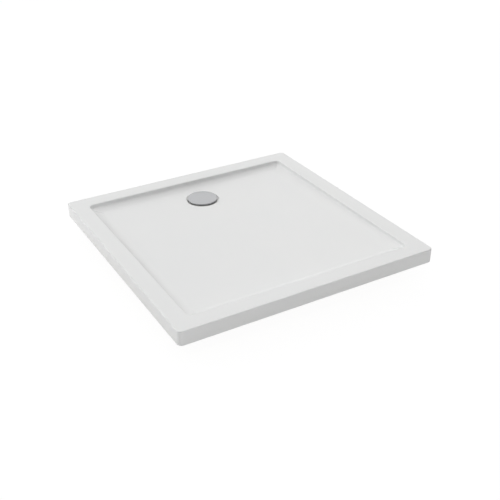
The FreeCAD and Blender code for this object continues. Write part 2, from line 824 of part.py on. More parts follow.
tray()
waste_flange()
ring("flange_gasket", d.sleeve_radius + d.gasket_play, d.flange_radius, seat_height, flange_foot)
ring("body_gasket", d.sleeve_radius + d.gasket_play, d.pot_flange, body_top, body_gasket_top)
flange_screws()
trap_body()
trap_outlet()
dip_tube()
trap_cup()
cup_seal()
hair_strainer()
drain_cover()
outlet()
for foot_name, (foot_x, foot_y) in foot_places().items():
    foot(foot_name, foot_x, foot_y)
socket_screws()
check_and_write()
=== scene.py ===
import json
import math

import bpy
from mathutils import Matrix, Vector


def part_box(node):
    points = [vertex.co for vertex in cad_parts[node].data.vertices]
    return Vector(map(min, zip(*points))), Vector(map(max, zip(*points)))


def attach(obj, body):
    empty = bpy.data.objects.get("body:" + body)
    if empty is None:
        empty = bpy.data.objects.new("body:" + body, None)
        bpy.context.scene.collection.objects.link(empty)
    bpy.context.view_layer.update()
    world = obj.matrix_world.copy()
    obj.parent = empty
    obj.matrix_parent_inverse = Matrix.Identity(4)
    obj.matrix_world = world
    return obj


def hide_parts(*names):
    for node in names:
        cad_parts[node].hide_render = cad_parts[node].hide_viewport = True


# A square low shower tray in white acrylic with a chromed waste cover, on five screw feet.
# Lengths are in metres unless a name says mm.

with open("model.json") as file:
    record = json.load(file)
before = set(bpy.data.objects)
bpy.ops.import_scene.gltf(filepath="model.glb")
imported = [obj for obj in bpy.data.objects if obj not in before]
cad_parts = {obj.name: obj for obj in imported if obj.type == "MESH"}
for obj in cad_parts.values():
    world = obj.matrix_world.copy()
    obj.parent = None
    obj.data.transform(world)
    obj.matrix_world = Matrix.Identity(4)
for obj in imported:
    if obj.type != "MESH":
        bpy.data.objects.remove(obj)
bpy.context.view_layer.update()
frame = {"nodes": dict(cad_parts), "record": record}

scene = bpy.context.scene
mm = 0.001
quarter = math.pi / 2
weldDistance = 0.01 * mm  # points closer than this become one
feet = ["front_left", "front_right", "middle", "back_left", "back_right"]


def middleOf(node):
    low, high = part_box(node)
    return Vector(((low.x + high.x) / 2, (low.y + high.y) / 2, 0))


drain = middleOf("drain_cover")  # the waste's axis, on the ground
footPlaces = [middleOf("foot_stud_" + foot) for foot in feet]


def feed(tree, node, inputs):
    # an input is a value, a socket, a node (its first enabled output) or a sum (operation, first, second);
    # its key is the name or the number of the socket that it goes to
    for key, value in inputs.items():
        if isinstance(value, tuple) and isinstance(value[0], str):
            value = addNode(tree, "ShaderNodeMath", dict(enumerate(value[1:])), operation=value[0])
        if isinstance(value, bpy.types.Node):
            value = next(out for out in value.outputs if out.enabled)
        if isinstance(value, bpy.types.NodeSocket):
            tree.links.new(value, node.inputs[key])
        else:
            node.inputs[key].default_value = value


def addNode(tree, kind, inputs=None, **settings):
    # one node with its settings and links
    node = tree.nodes.new(kind)
    for name, value in settings.items():
        setattr(node, name, value)
    feed(tree, node, inputs or {})
    return node


shot = {
    "place": (-1.1604, -2.0469, 1.3808),
    "aim": (-0.0178, -0.0928, 0.065),
    "lensMm": 57.3,
    "sensorMm": 36,
    "reach": 60,
}


def aimed(place, aim):
    return (Vector(aim) - Vector(place)).to_track_quat("-Z", "Y").to_euler()


camera = bpy.data.objects.new("camera", bpy.data.cameras.new("camera"))
scene.collection.objects.link(camera)
camera.location = shot["place"]
camera.rotation_euler = aimed(shot["place"], shot["aim"])
camera.data.lens = shot["lensMm"]
camera.data.sensor_width = shot["sensorMm"]
camera.data.clip_end = shot["reach"]
scene.camera = camera
print("camera ready")


def linear(hexCode):
    channels = [int(hexCode[start:start + 2], 16) / 255 for start in (1, 3, 5)]
    return [c / 12.92 if c <= 0.04045 else ((c + 0.055) / 1.055) ** 2.4 for c in channels] + [1]


def newMaterial(name):
    material = bpy.data.materials.new(name)
    material.use_nodes = True
    tree = material.node_tree
    tree.nodes.clear()
    return material, tree, addNode(tree, "ShaderNodeTexCoord").outputs["Object"]


def finishMaterial(material, surface):
    # a constant is set on the shader's own socket, and a node is linked to it
    shader = addNode(material.node_tree, "ShaderNodeBsdfPrincipled", surface)
    addNode(material.node_tree, "ShaderNodeOutputMaterial", {"Surface": shader})
    return material


def perMetre(sizeMm):
    # how many pattern cells of this real size lie in a metre
    return 1000 / sizeMm


def acrylicSheet():
    # Cast acrylic, vacuum formed: a deep white gloss with the faint slow ripple that forming leaves
    material, tree, place = newMaterial("castAcrylic")
    cloud = addNode(tree, "ShaderNodeTexNoise", {"Vector": place, "Scale": perMetre(220), "Detail": 2.0})
    wipe = addNode(tree, "ShaderNodeTexNoise", {"Vector": place, "Scale": perMetre(45), "Detail": 4.0})
    ripple = addNode(tree, "ShaderNodeTexNoise", {"Vector": place, "Scale": perMetre(70), "Detail": 1.0})
    return finishMaterial(material, {
        "Base Color": addNode(tree, "ShaderNodeMix", {0: cloud, 6: linear("#ECEDED"), 7: linear("#F0F0EF")},
                              data_type="RGBA"),
        "Roughness": addNode(tree, "ShaderNodeMapRange", {0: wipe, 3: 0.14, 4: 0.22}),
        "Normal": addNode(tree, "ShaderNodeBump", {"Height": ripple, "Strength": 0.12, "Distance": 0.5 * mm}),
        "IOR": 1.49,
    })


def chromePlate():
    # Bright chrome plate: a mirror that slight smears widen here and there
    material, tree, place = newMaterial("chromePlate")
    smear = addNode(tree, "ShaderNodeTexNoise", {"Vector": place, "Scale": perMetre(14), "Detail": 5.0})
    return finishMaterial(material, {
        "Base Color": linear("#DCDDDF"),
        "Metallic": 1.0,
        "Roughness": addNode(tree, "ShaderNodeMapRange", {0: smear, 3: 0.06, 4: 0.15}),
    })


def spunStainless():
    # Stainless sheet, spun: rings round the waste's axis, drawn as coarse as 7.54 mm so that they show
    wavesPerUnit = 20 / math.tau  # what the texture draws in one unit at a scale of 1
    material, tree, place = newMaterial("spunStainless")
    centred = addNode(tree, "ShaderNodeMapping", {"Vector": place, "Location": (-drain.x, -drain.y, 0)})
    rings = addNode(tree, "ShaderNodeTexWave", {"Vector": centred, "Scale": perMetre(7.54) / wavesPerUnit,
                                                "Distortion": 1.5, "Detail": 3.0},
                    wave_type="RINGS", rings_direction="Z")
    return finishMaterial(material, {
        "Base Color": linear("#C4C4C1"),
        "Metallic": 1.0,
        "Roughness": addNode(tree, "ShaderNodeMapRange", {0: rings, 3: 0.22, 4: 0.34}),
        "Normal": addNode(tree, "ShaderNodeBump", {"Height": rings, "Strength": 0.25, "Distance": 0.05 * mm}),
    })


def mouldedPlastic(name, colours, roughness, grainMm):
    # Injection-moulded plastic: a satin skin with fine spark texture and slow flow clouds
    material, tree, place = newMaterial(name)
    flow = addNode(tree, "ShaderNodeTexNoise", {"Vector": place, "Scale": perMetre(25), "Detail": 3.0})
    grain = addNode(tree, "ShaderNodeTexNoise", {"Vector": place, "Scale": perMetre(grainMm), "Detail": 2.0})
    return finishMaterial(material, {
        "Base Color": addNode(tree, "ShaderNodeMix", {0: flow, 6: linear(colours[0]), 7: linear(colours[1])},
                              data_type="RGBA"),
        "Roughness": addNode(tree, "ShaderNodeMapRange", {0: flow, 3: roughness - 0.06, 4: roughness + 0.06}),
        "Normal": addNode(tree, "ShaderNodeBump", {"Height": grain, "Strength": 0.3, "Distance": 0.08 * mm}),
        "IOR": 1.49,
    })


def mouldedRubber():
    # EPDM rubber: near black and dull, with a bloom that greys it in patches
    material, tree, place = newMaterial("mouldedRubber")
    bloom = addNode(tree, "ShaderNodeTexNoise", {"Vector": place, "Scale": perMetre(9), "Detail": 6.0})
    skin = addNode(tree, "ShaderNodeTexNoise", {"Vector": place, "Scale": perMetre(0.8), "Detail": 3.0})
    return finishMaterial(material, {
        "Base Color": addNode(tree, "ShaderNodeMix", {0: bloom, 6: linear("#151515"), 7: linear("#2E2D2B")},
                              data_type="RGBA"),
        "Roughness": addNode(tree, "ShaderNodeMapRange", {0: bloom, 3: 0.62, 4: 0.82}),
        "Normal": addNode(tree, "ShaderNodeBump", {"Height": skin, "Strength": 0.5, "Distance": 0.1 * mm}),
        "IOR": 1.52,
    })


def zincPlate():
    # Steel with a bright zinc plate: a soft grey shine, blotched by the passivation
    material, tree, place = newMaterial("zincPlate")
    blotch = addNode(tree, "ShaderNodeTexNoise", {"Vector": place, "Scale": perMetre(6), "Detail": 4.0})
    return finishMaterial(material, {
        "Base Color": addNode(tree, "ShaderNodeMix", {0: blotch, 6: linear("#B9BDC2"), 7: linear("#CFCCBE")},
                              data_type="RGBA"),
        "Metallic": 1.0,
        "Roughness": addNode(tree, "ShaderNodeMapRange", {0: blotch, 3: 0.26, 4: 0.42}),
    })


def glassLaminate():
    # Chopped-strand laminate: milky resin with crossing bundles of glass, 50 mm long and 2.5 mm wide
    material, tree, place = newMaterial("glassLaminate")
    strands = 0.0
    for turn, shift in ((0.35, 0.0), (1.25, 3.1), (2.3, 7.7)):
        laid = addNode(tree, "ShaderNodeMapping", {
            "Vector": place, "Rotation": (0, 0, turn), "Location": (shift, 0, 0),
            "Scale": (perMetre(50), perMetre(2.5), perMetre(50))})
        layer = addNode(tree, "ShaderNodeTexNoise", {"Vector": laid, "Scale": 1.0, "Detail": 1.0})
        strands = addNode(tree, "ShaderNodeMath", {0: strands, 1: layer}, operation="MAXIMUM")
    shown = addNode(tree, "ShaderNodeMapRange", {0: strands, 1: 0.5, 2: 0.72})
    return finishMaterial(material, {
        "Base Color": addNode(tree, "ShaderNodeMix", {0: shown, 6: linear("#B7B79C"), 7: linear("#E1E0CF")},
                              data_type="RGBA"),
        "Roughness": addNode(tree, "ShaderNodeMapRange", {0: shown, 3: 0.34, 4: 0.5}),
        "Normal": addNode(tree, "ShaderNodeBump", {"Height": strands, "Strength": 0.7, "Distance": 0.6 * mm}),
        "IOR": 1.54,
    })


def pouredFoam():
    # Polyurethane foam: straw yellow and dull, with cells of a millimetre or two
    material, tree, place = newMaterial("pouredFoam")
    cells = addNode(tree, "ShaderNodeTexVoronoi", {"Vector": place, "Scale": perMetre(1.8)})
    return finishMaterial(material, {
        "Base Color": addNode(tree, "ShaderNodeMix", {0: cells, 6: linear("#CDB677"), 7: linear("#EADCA6")},
                              data_type="RGBA"),
        "Roughness": addNode(tree, "ShaderNodeMapRange", {0: cells, 3: 0.96, 4: 0.86}),
        "Normal": addNode(tree, "ShaderNodeBump", {"Height": cells, "Strength": 0.8, "Distance": 0.6 * mm}),
        "IOR": 1.4,
    })


def pressedChipboard():
    # Chipboard: flakes 3 by 7 mm in three browns, pressed flat
    material, tree, place = newMaterial("pressedChipboard")
    laid = addNode(tree, "ShaderNodeMapping", {"Vector": place,
                                               "Scale": (perMetre(7), perMetre(3), perMetre(1))})
    flakes = addNode(tree, "ShaderNodeTexVoronoi", {"Vector": laid, "Scale": 1.0, "Randomness": 1.0})
    tone = addNode(tree, "ShaderNodeSeparateColor", {0: flakes.outputs["Color"]})
    dark = addNode(tree, "ShaderNodeMix", {0: tone, 6: linear("#8F6C42"), 7: linear("#BD9760")},
                   data_type="RGBA")
    return finishMaterial(material, {
        "Base Color": addNode(tree, "ShaderNodeMix", {0: tone, 6: dark, 7: linear("#D9BC8B")},
                              data_type="RGBA"),
        "Roughness": addNode(tree, "ShaderNodeMapRange", {0: tone, 3: 0.7, 4: 0.86}),
        "Normal": addNode(tree, "ShaderNodeBump", {"Height": tone, "Strength": 0.4, "Distance": 0.3 * mm}),
        "IOR": 1.45,
    })


finishes = {
    "acrylic": acrylicSheet(),
    "glassfibre": glassLaminate(),
    "foam": pouredFoam(),
    "chipboard": pressedChipboard(),
    "stainless": spunStainless(),
    "chrome": chromePlate(),
    "trap_plastic": mouldedPlastic("whitePolypropylene", ("#DADCDC", "#E4E5E4"), 0.38, 0.9),
    "insert_plastic": mouldedPlastic("bluePolypropylene", ("#6D8299", "#7C91A6"), 0.40, 0.9),
    "strainer_plastic": mouldedPlastic("greyAbs", ("#5E6264", "#6B6F71"), 0.34, 0.7),
    "pipe_plastic": mouldedPlastic("greyPipe", ("#D5D7D6", "#DEDFDE"), 0.34, 1.2),
    "foot_plastic": mouldedPlastic("blackNylon", ("#1E1F20", "#2B2C2D"), 0.46, 0.8),
    "zinc_steel": zincPlate(),
    "rubber": mouldedRubber(),
}

slotOf = {part["node"]: part["material_slot"] for part in frame["record"]["subparts"]}
for nodeName, node in frame["nodes"].items():
    for materialSlot in node.material_slots:
        materialSlot.material = finishes[slotOf[nodeName]]
print("finishes:", len(finishes), "on", len(slotOf), "nodes")


socketKinds = {int: "NodeSocketInt", float: "NodeSocketFloat"}


def newTree(name, sizes, result="NodeSocketGeometry"):
    # a geometry tree whose named inputs are the sizes, the points that it stands on and its material
    kinds = {label: socketKinds[type(value)] for label, value in sizes.items()}
    if result == "NodeSocketGeometry":
        kinds = {"points": "NodeSocketGeometry", "material": "NodeSocketMaterial", **kinds}
    tree = bpy.data.node_groups.new(name, "GeometryNodeTree")
    for label, kind in kinds.items():
        tree.interface.new_socket(label, in_out="INPUT", socket_type=kind)
    tree.interface.new_socket("Result", in_out="OUTPUT", socket_type=result)
    start = tree.nodes.new("NodeGroupInput")
    return tree, {socket.name: socket for socket in start.outputs if socket.name}


def finishTree(tree, given, shape, sharpDegrees=35):
    # a smooth skin with sharp edges from this angle on, a copy of it on each point, and its material
    soft = addNode(tree, "GeometryNodeSetShadeSmooth", {"Geometry": shape, "Shade Smooth": True})
    bend = addNode(tree, "GeometryNodeInputMeshEdgeAngle")
    edged = addNode(tree, "GeometryNodeSetShadeSmooth", {
        "Geometry": soft, "Selection": ("GREATER_THAN", bend, math.radians(sharpDegrees)),
        "Shade Smooth": False}, domain="EDGE")
    copies = addNode(tree, "GeometryNodeInstanceOnPoints", {"Points": given["points"], "Instance": edged})
    real = addNode(tree, "GeometryNodeRealizeInstances", {"Geometry": copies})
    done = addNode(tree, "GeometryNodeSetMaterial", {"Geometry": real, "Material": given["material"]})
    addNode(tree, "NodeGroupOutput", {0: done})
    return tree


def makeFromTree(name, tree, sizes, points, body, slot, replaced=()):
    # runs a geometry tree and keeps its result as a plain mesh that rides on a body
    seeds = bpy.data.meshes.new(name + "Points")
    seeds.from_pydata([tuple(point) for point in points], [], [])
    carrier = bpy.data.objects.new(name + "Carrier", seeds)
    scene.collection.objects.link(carrier)
    modifier = carrier.modifiers.new("nodes", "NODES")
    modifier.node_group = tree
    values = {**sizes, "material": finishes[slot]}
    for item in tree.interface.items_tree:
        if item.in_out == "INPUT" and item.name in values:
            modifier[item.identifier] = values[item.name]
    mesh = bpy.data.meshes.new_from_object(carrier.evaluated_get(bpy.context.evaluated_depsgraph_get()))
    mesh.name = name
    carrier.modifiers.remove(modifier)
    bpy.data.objects.remove(carrier)
    piece = bpy.data.objects.new(name, mesh)
    scene.collection.objects.link(piece)
    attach(piece, body)
    if replaced:
        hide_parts(*replaced)
    print(name + ":", len(mesh.polygons), "faces")


def loft(tree, column, columns, corners, arcSteps, closed):
    # draws each column's section through its corners, rounds it, and spans one skin over the sections;
    # a corner is (place, rounding)
    index = addNode(tree, "GeometryNodeInputIndex")
    places = addNode(tree, "GeometryNodeIndexSwitch", data_type="VECTOR")
    roundings = addNode(tree, "GeometryNodeIndexSwitch", data_type="FLOAT")
    for switch, values in ((places, [corner[0] for corner in corners]),
                           (roundings, [corner[1] for corner in corners])):
        while len(switch.index_switch_items) < len(corners):
            switch.index_switch_items.new()
        feed(tree, switch, {0: ("MODULO", index, len(corners)), **dict(enumerate(values, 1))})
    cloud = addNode(tree, "GeometryNodePoints", {"Count": ("MULTIPLY", columns, len(corners)),
                                                 "Position": places})
    drawn = addNode(tree, "GeometryNodePointsToCurves", {"Points": cloud, "Curve Group ID": column,
                                                         "Weight": index})
    ring = addNode(tree, "GeometryNodeSetSplineCyclic", {"Geometry": drawn, "Cyclic": closed})
    rounded = addNode(tree, "GeometryNodeFilletCurve", {"Curve": ring, "Count": arcSteps,
                                                        "Radius": roundings}, mode="POLY")
    total = addNode(tree, "GeometryNodeAttributeDomainSize", {"Geometry": rounded}, component="CURVE")
    stations = addNode(tree, "ShaderNodeMath", {0: total.outputs["Point Count"], 1: columns},
                       operation="DIVIDE")
    rows = addNode(tree, "ShaderNodeMath", {0: stations, 1: int(closed)}, operation="ADD")
    grid = addNode(tree, "GeometryNodeMeshGrid", {"Vertices X": ("ADD", columns, 1), "Vertices Y": rows})
    line = ("MODULO", ("FLOOR", ("DIVIDE", index, rows)), columns)
    station = ("MODULO", ("MODULO", index, rows), stations)
    where = addNode(tree, "GeometryNodeSampleIndex", {
        "Geometry": rounded, "Value": addNode(tree, "GeometryNodeInputPosition"),
        "Index": ("MULTIPLY_ADD", line, stations, station)}, data_type="FLOAT_VECTOR", domain="POINT")
    skin = addNode(tree, "GeometryNodeSetPosition", {"Geometry": grid, "Position": where})
    return addNode(tree, "GeometryNodeMergeByDistance", {"Geometry": skin, "Distance": weldDistance})


def turned(tree, columns, profile, arcSteps=4, closed=False):
    # a form turned about the upright axis; the profile gives (radius, height, rounding) for each corner
    index = addNode(tree, "GeometryNodeInputIndex")
    column = addNode(tree, "ShaderNodeMath", {0: ("DIVIDE", index, len(profile))}, operation="FLOOR")
    turn = addNode(tree, "ShaderNodeMath", {0: ("DIVIDE", column, columns), 1: math.tau},
                   operation="MULTIPLY")
    corners = []
    for radius, height, rounding in profile:
        place = addNode(tree, "ShaderNodeCombineXYZ", {"X": ("MULTIPLY", ("COSINE", turn), radius),
                                                       "Y": ("MULTIPLY", ("SINE", turn), radius),
                                                       "Z": height})
        corners.append((place, rounding))
    return loft(tree, column, columns, corners, arcSteps, closed)


tray = {
    "plan corner": 15 * mm,
    "outer edge": 3 * mm,
    "edge room": 1.5,  # from this edge in to the first row on the rim, in radii of the rounding
    "rim width": 60 * mm,
    "lip radius": 4 * mm,
    "lip room": 2.0,  # the same from the lip out
    "well corner": 16 * mm,
    "wall draft": math.radians(12),
    "knee radius": 10 * mm,
    "cove share": 0.44,  # of the well's depth
    "cove slope": math.radians(25),
    "cove softness": 3.2,  # the cove's radius, in depths of the well
    "cove room": 0.57,  # a share of the cove's slope, just over the half that its rounding takes up
    "drain depth": 25 * mm,
    "floor fall": 0.012,
    "seat radius": 59 * mm,
    "seat drop": 3 * mm,
    "seat edge": 0.8 * mm,
    "seat apron": 4 * mm,  # from the seat's edge out to the last row on the floor
    "hole radius": 45 * mm,
    "sheet": 4.5 * mm,
    "cut edge": 0.6 * mm,
    "side columns": 64,
    "corner columns": 10,
    "arc steps": 8,
    "half side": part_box("tray_shell")[1].x,
    "top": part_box("tray_shell")[1].z,
    "foot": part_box("tray_shell")[0].z,
    "drain y": drain.y,
}


def squareLoopTree():
    # a place on a rounded square; the columns count anticlockwise from the foot of the right side
    tree, given = newTree("squareLoop", {"column": 0, "half": 0.0, "corner": 0.0, "height": 0.0,
                                         "side columns": 0, "corner columns": 0}, "NodeSocketVector")
    perSide = ("ADD", given["side columns"], given["corner columns"])
    local = addNode(tree, "ShaderNodeMath", {0: given["column"], 1: perSide}, operation="MODULO")
    along = ("MINIMUM", ("DIVIDE", local, given["side columns"]), 1)
    past = ("MAXIMUM", ("SUBTRACT", local, given["side columns"]), 0)
    turn = addNode(tree, "ShaderNodeMath", {0: ("DIVIDE", past, given["corner columns"]), 1: quarter},
                   operation="MULTIPLY")
    arm = addNode(tree, "ShaderNodeMath", {0: given["half"], 1: given["corner"]}, operation="SUBTRACT")
    centreY = ("MULTIPLY", arm, ("MULTIPLY_ADD", along, 2, -1))
    flat = addNode(tree, "ShaderNodeCombineXYZ", {
        "X": ("MULTIPLY_ADD", ("COSINE", turn), given["corner"], arm),
        "Y": ("MULTIPLY_ADD", ("SINE", turn), given["corner"], centreY), "Z": given["height"]})
    side = ("FLOOR", ("DIVIDE", given["column"], perSide))
    placed = addNode(tree, "ShaderNodeVectorRotate", {"Vector": flat, "Angle": ("MULTIPLY", side, quarter)},
                     rotation_type="Z_AXIS")
    addNode(tree, "NodeGroupOutput", {0: placed})
    return tree


def trayTree():
    # every column is one closed section of the sheet: up the apron, over the rim, down into the well,
    # in to the waste's hole, and back along the underside
    tree, given = newTree("formedSheet", tray)
    square = squareLoopTree()
    cornerCount = 19
    sides = 4
    index = addNode(tree, "GeometryNodeInputIndex")
    column = addNode(tree, "ShaderNodeMath", {0: ("DIVIDE", index, cornerCount)}, operation="FLOOR")
    columns = addNode(tree, "ShaderNodeMath", {0: ("ADD", given["side columns"], given["corner columns"]),
                                               1: sides}, operation="MULTIPLY")
    drainAxis = addNode(tree, "ShaderNodeCombineXYZ", {"Y": given["drain y"]})
    half, corner, sheet = given["half side"], given["plan corner"], given["sheet"]
    top, foot = given["top"], given["foot"]
    floorLow = ("SUBTRACT", top, given["drain depth"])
    slope = ("TANGENT", given["wall draft"])

    def squareLoop(reach, rounding, height=0.0):
        return addNode(tree, "GeometryNodeGroup", {
            "column": column, "half": reach, "corner": rounding, "height": height,
            "side columns": given["side columns"], "corner columns": given["corner columns"]},
            node_tree=square)

    def onFloor(place, drop=0.0):
        # the same place at the height of the floor, which falls to the drain, or so far below it
        flat = addNode(tree, "ShaderNodeVectorMath", {0: place, 1: (1, 1, 0)}, operation="MULTIPLY")
        reach = addNode(tree, "ShaderNodeVectorMath", {0: flat, 1: drainAxis}, operation="DISTANCE")
        rise = addNode(tree, "ShaderNodeMath", {0: reach.outputs["Value"], 1: given["floor fall"],
                                                2: ("SUBTRACT", floorLow, drop)}, operation="MULTIPLY_ADD")
        lift = addNode(tree, "ShaderNodeCombineXYZ", {"Z": rise})
        return addNode(tree, "ShaderNodeVectorMath", {0: flat, 1: lift}, operation="ADD"), rise

    def drainLoop(towards, radius, height=0.0):
        # a place on a circle round the drain, in line with a place further out
        flat = addNode(tree, "ShaderNodeVectorMath", {0: towards, 1: (1, 1, 0)}, operation="MULTIPLY")
        arm = addNode(tree, "ShaderNodeVectorMath", {0: flat, 1: drainAxis}, operation="SUBTRACT")
        unit = addNode(tree, "ShaderNodeVectorMath", {0: arm}, operation="NORMALIZE")
        scaled = addNode(tree, "ShaderNodeVectorMath", {0: unit, "Scale": radius}, operation="SCALE")
        centre = addNode(tree, "ShaderNodeCombineXYZ", {"Y": given["drain y"], "Z": height})
        return addNode(tree, "ShaderNodeVectorMath", {0: scaled, 1: centre}, operation="ADD")

    def wallDepth(reach, rounding, drop=0.0):
        # how far the floor lies below the rim at the foot of the drafted wall
        guess = ("SUBTRACT", reach, ("MULTIPLY", given["drain depth"], slope))
        rise = onFloor(squareLoop(guess, rounding), drop)[1]
        return addNode(tree, "ShaderNodeMath", {0: top, 1: rise}, operation="SUBTRACT")

    def insetLoop(reach, rounding, inward, height=0.0):
        # a loop so far inside another, whose corners tighten with it
        return squareLoop(("SUBTRACT", reach, inward),
                          ("MAXIMUM", ("SUBTRACT", rounding, inward), given["cut edge"]), height)

    wellHalf, wellCorner = ("SUBTRACT", half, given["rim width"]), given["well corner"]
    insideHalf, insideCorner = ("ADD", wellHalf, sheet), ("ADD", wellCorner, sheet)
    bendRoom = ("MULTIPLY", given["outer edge"], given["edge room"])
    lipRoom = ("MULTIPLY", given["lip radius"], given["lip room"])
    underTop = ("SUBTRACT", top, sheet)
    seatLow = ("SUBTRACT", floorLow, given["seat drop"])
    seatUnder = ("SUBTRACT", seatLow, sheet)
    outerSeat = ("ADD", given["seat radius"], sheet)
    depth = wallDepth(wellHalf, wellCorner)
    coveRise = ("MULTIPLY", depth, given["cove share"])
    kneeDepth = addNode(tree, "ShaderNodeMath", {0: depth, 1: coveRise}, operation="SUBTRACT")
    kneeIn = ("MULTIPLY", kneeDepth, slope)
    toeIn = ("ADD", kneeIn, ("DIVIDE", coveRise, ("TANGENT", given["cove slope"])))
    coveRadius = ("MULTIPLY", depth, given["cove softness"])
    coveRoom = ("MULTIPLY", coveRadius, ("TANGENT", ("MULTIPLY", given["cove slope"], given["cove room"])))
    coveEnd = onFloor(insetLoop(wellHalf, wellCorner, ("ADD", toeIn, coveRoom)))[0]
    underLeaned = ("SUBTRACT", insideHalf, ("MULTIPLY", wallDepth(insideHalf, insideCorner, sheet), slope))
    underFoot = onFloor(squareLoop(underLeaned, insideCorner), sheet)[0]
    seatApron = drainLoop(coveEnd, ("ADD", given["seat radius"], given["seat apron"]))
    underLean = ("MULTIPLY", sheet, slope)
    corners = [
        (squareLoop(half, corner, foot), given["cut edge"]),
        (squareLoop(half, corner, top), given["outer edge"]),
        (squareLoop(("SUBTRACT", half, bendRoom), ("SUBTRACT", corner, bendRoom), top), 0.0),
        (squareLoop(("ADD", wellHalf, lipRoom), ("ADD", wellCorner, lipRoom), top), 0.0),
        (squareLoop(wellHalf, wellCorner, top), given["lip radius"]),
        (squareLoop(("SUBTRACT", wellHalf, kneeIn), wellCorner, ("SUBTRACT", top, kneeDepth)),
         given["knee radius"]),
        (onFloor(insetLoop(wellHalf, wellCorner, toeIn))[0], coveRadius),
        (coveEnd, 0.0),
        (onFloor(seatApron)[0], 0.0),
        (onFloor(drainLoop(coveEnd, given["seat radius"]))[0], given["seat edge"]),
        (drainLoop(coveEnd, given["seat radius"], seatLow), given["seat edge"]),
        (drainLoop(coveEnd, given["hole radius"], seatLow), given["cut edge"]),
        (drainLoop(coveEnd, given["hole radius"], seatUnder), 0.0),
        (drainLoop(underFoot, outerSeat, seatUnder), 0.0),
        (onFloor(drainLoop(underFoot, outerSeat), sheet)[0], 0.0),
        (underFoot, 0.0),
        (squareLoop(("SUBTRACT", insideHalf, underLean), insideCorner, underTop), 0.0),
        (squareLoop(("SUBTRACT", half, sheet), ("SUBTRACT", corner, sheet), underTop),
         ("MAXIMUM", ("SUBTRACT", given["outer edge"], sheet), given["cut edge"])),
        (squareLoop(("SUBTRACT", half, sheet), ("SUBTRACT", corner, sheet), foot), given["cut edge"]),
    ]
    assert len(corners) == cornerCount
    return finishTree(tree, given, loft(tree, column, columns, corners, given["arc steps"], True))


makeFromTree("traySheet", trayTree(), tray, [(0, 0, 0)], "tray", "acrylic", ["tray_shell"])


cover = {
    "radius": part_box("drain_cover")[1].x - drain.x,
    "top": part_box("drain_cover")[1].z,
    "stem foot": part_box("drain_cover")[0].z,
    "leg foot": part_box("hair_strainer")[1].z,
    "crown": 1 * mm,
    "edge": 2 * mm,
    "skirt": 1 * mm,
    "wall": 1.6 * mm,
    "stem radius": 4 * mm,
    "leg circle": 50 * mm,
    "leg radius": 1.6 * mm,
    "legs": 4,
    "leg sides": 24,
    "columns": 96,
    "arc steps": 8,
}


def coverTree():
    # a crowned cap with a short skirt and a stem, turned in one, with its legs welded on
    tree, given = newTree("wasteCover", cover)
    radius, wall, crown, top = given["radius"], given["wall"], given["crown"], given["top"]
    shoulder = ("SUBTRACT", top, crown)
    edgeFoot = ("SUBTRACT", shoulder, given["edge"])
    skirtFoot = ("SUBTRACT", edgeFoot, given["skirt"])
    underside = ("SUBTRACT", shoulder, wall)
    skirtIn = ("SUBTRACT", radius, wall)
    shoulderAt = ("SUBTRACT", radius, given["edge"])
    dome = []
    for share in (1, 0.8, 0.6, 0.4, 0.2, 0):
        dome.append((("MULTIPLY", shoulderAt, share), ("MULTIPLY_ADD", crown, -share ** 2, top), 0.0))
    cap = turned(tree, given["columns"], [
        (0.0, given["stem foot"], 0.0), (given["stem radius"], given["stem foot"], 0.0),
        (given["stem radius"], underside, 0.0), (skirtIn, underside, 0.0), (skirtIn, skirtFoot, 0.0),
        (radius, skirtFoot, 0.0), (radius, shoulder, given["edge"]), *dome], given["arc steps"])
    legLength = addNode(tree, "ShaderNodeMath", {0: underside, 1: given["leg foot"]}, operation="SUBTRACT")
    weld = ("MULTIPLY", wall, 0.5)
    peg = addNode(tree, "GeometryNodeMeshCylinder", {
        "Vertices": given["leg sides"], "Radius": given["leg radius"], "Depth": ("ADD", legLength, weld)})
    middle = ("MULTIPLY", ("ADD", ("ADD", underside, weld), given["leg foot"]), 0.5)
    circle = addNode(tree, "GeometryNodeMeshCircle", {"Vertices": given["legs"],
                                                      "Radius": given["leg circle"]})
    lifted = addNode(tree, "GeometryNodeSetPosition", {
        "Geometry": circle, "Offset": addNode(tree, "ShaderNodeCombineXYZ", {"Z": middle})})
    legs = addNode(tree, "GeometryNodeInstanceOnPoints", {"Points": lifted, "Instance": peg})
    whole = addNode(tree, "GeometryNodeMeshBoolean", operation="UNION")
    for shape in (cap, addNode(tree, "GeometryNodeRealizeInstances", {"Geometry": legs})):
        tree.links.new(shape.outputs[0], whole.inputs["Mesh 2"])
    return finishTree(tree, given, whole)


makeFromTree("wasteCover", coverTree(), cover, [(drain.x, drain.y, 0)], "cover", "chrome",
             ["drain_cover"])


cornerSlope = math.tan(math.radians(30))  # how steeply a hexagon's corners are turned off

stud = {
    "foot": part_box("foot_stud_middle")[0].z,
    "pad top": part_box("foot_pad_middle")[1].z,
    "top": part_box("foot_stud_middle")[1].z,
    "spigot radius": 4 * mm,
    "across flats": 15 * mm,
    "hexagon height": 6 * mm,
    "thread radius": 5 * mm,
    "thread depth": 0.92 * mm,
    "flank steepness": 1.4,  # over 1 it leaves a flat on the crest and in the root
    "pitch": 1.5 * mm,
    "chamfer": 1 * mm,
    "row step": 0.25 * mm,
    "columns": 30,
}


def hexagonRadius(tree, turn, acrossFlats):
    # how far a hexagon's side lies from its centre in this direction, with a corner along +X
    sixth = math.pi / 3
    lean = ("SUBTRACT", ("MODULO", turn, sixth), sixth / 2)
    return addNode(tree, "ShaderNodeMath", {0: ("MULTIPLY", acrossFlats, 0.5), 1: ("COSINE", lean)},
                   operation="DIVIDE")


